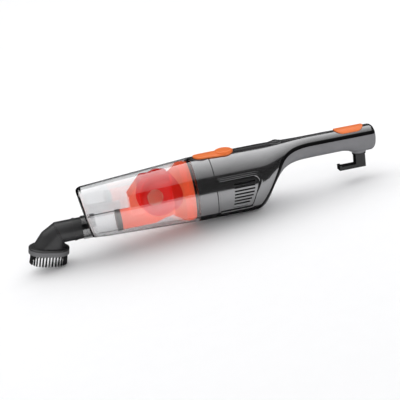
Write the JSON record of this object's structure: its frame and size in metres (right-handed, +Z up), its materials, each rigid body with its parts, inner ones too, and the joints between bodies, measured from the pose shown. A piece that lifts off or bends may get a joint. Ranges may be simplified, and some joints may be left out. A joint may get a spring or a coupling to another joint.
{
  "type": "handheld vacuum cleaner",
  "caption": "Handheld vacuum with an angled dusting brush, clear dust cup with cyclone, vented motor body and a grip with a swivel cord hook.",
  "frame": {"origin": "centre of the whole length and width, on the table that it rests on", "axes": "+X towards the end of the grip, +Z up, +Y towards the far side; mirror symmetric about the XZ plane but for its screws"},
  "size_m": [0.5807, 0.1064, 0.1129],
  "materials": {
    "brush_black": "satin moulded",
    "ring_grey": "satin moulded",
    "bristle": "soft nylon tufts",
    "clear": "clear moulded",
    "frosted": "frosted moulded",
    "seal_teal": "soft rubber",
    "red_clear": "translucent red moulded",
    "orange_clear": "translucent orange moulded",
    "steel_mesh": "perforated",
    "rubber_black": "soft rubber",
    "filter_media": "pleated",
    "inner_plastic": "moulded",
    "body_grey": "polished",
    "strip_dark": "polished",
    "grip_grey": "soft touch",
    "trim_black": "polished",
    "foam": "open foam",
    "motor_steel": "rolled",
    "fan_metal": "turned",
    "copper": "bare copper",
    "carbon": "pressed carbon",
    "orange": "satin",
    "board_green": "lacquered",
    "zinc": "zinc plated"
  },
  "bodies": {
    "body": {"filter_pleats": "filter_media", "filter_frame": "inner_plastic", "front_ring": "body_grey", "slide_bed": "strip_dark", "shell_left": "body_grey", "shell_right": "body_grey", "top_strip": "strip_dark", "grip_skin": "grip_grey", "trim_line": "trim_black", "vent_cover_left": "body_grey", "vent_cover_right": "body_grey", "exhaust_foam": "foam", "motor_can": "motor_steel", "motor_bracket": "fan_metal", "carbon_brushes": "carbon", "motor_bearings": "zinc", "fan_shroud": "fan_metal", "front_mount": "rubber_black", "rear_mount": "rubber_black", "release_spring": "zinc", "button_spring": "zinc", "button_switch": "inner_plastic", "switch_block": "inner_plastic", "circuit_board": "board_green", "board_parts": "inner_plastic", "hook_screw": "zinc", "hook_washer": "zinc", "cord_gland": "rubber_black", "shell_screws": "zinc"},
    "brush_end": {"brush_head": "brush_black", "brush_ring": "ring_grey", "bristle_tufts": "bristle"},
    "brush_tube": {"brush_tube": "brush_black"},
    "cup": {"dust_cup": "clear", "inlet_sleeve": "frosted", "inlet_seal": "seal_teal", "cyclone_housing": "red_clear", "cyclone_screens": "steel_mesh", "filter_holder": "orange_clear", "cup_seal": "rubber_black"},
    "rotor": {"armature": "motor_steel", "commutator": "copper", "motor_shaft": "zinc", "fan_impeller": "fan_metal"},
    "release_slide": {"release_slide": "orange"},
    "push_button": {"push_button": "strip_dark"},
    "power_switch": {"power_switch": "orange"},
    "cord_hook": {"cord_hook": "brush_black"}
  },
  "joints": [
    {"name": "cup_slide", "type": "slide", "parent": "body", "child": "cup", "axis": [-0.9959, 0, 0.0907], "range_m": [0, 0.08]},
    {"name": "tube_pull", "type": "slide", "parent": "cup", "child": "brush_tube", "axis": [-0.9959, 0, 0.0907], "range_m": [0, 0.03]},
    {"name": "brush_swivel", "type": "hinge", "parent": "brush_tube", "child": "brush_end", "pos_m": [-0.23508, 0, 0.05215], "axis": [-0.9668, 0, -0.2554], "range_deg": [-90, 90]},
    {"name": "motor_spin", "type": "hinge", "parent": "body", "child": "rotor", "pos_m": [0.01426, 0, 0.05556], "axis": [0.9959, 0, -0.0907], "continuous": true},
    {"name": "cup_release", "type": "slide", "parent": "body", "child": "release_slide", "axis": [0.9959, 0, -0.0907], "range_m": [0, 0.006], "stiffness_N_per_m": 500, "springref_m": -0.002, "deforming": ["release_spring"]},
    {"name": "button_press", "type": "slide", "parent": "body", "child": "push_button", "axis": [-0.0907, 0, -0.9959], "range_m": [0, 0.0015], "stiffness_N_per_m": 600, "springref_m": -0.0015, "deforming": ["button_spring"]},
    {"name": "power_slide", "type": "slide", "parent": "body", "child": "power_switch", "axis": [-0.9959, 0, 0.0907], "range_m": [0, 0.005]},
    {"name": "hook_turn", "type": "hinge", "parent": "body", "child": "cord_hook", "pos_m": [0.25925, 0, 0.03326], "axis": [0.0907, 0, 0.9959], "range_deg": [0, 180]}
  ]
}
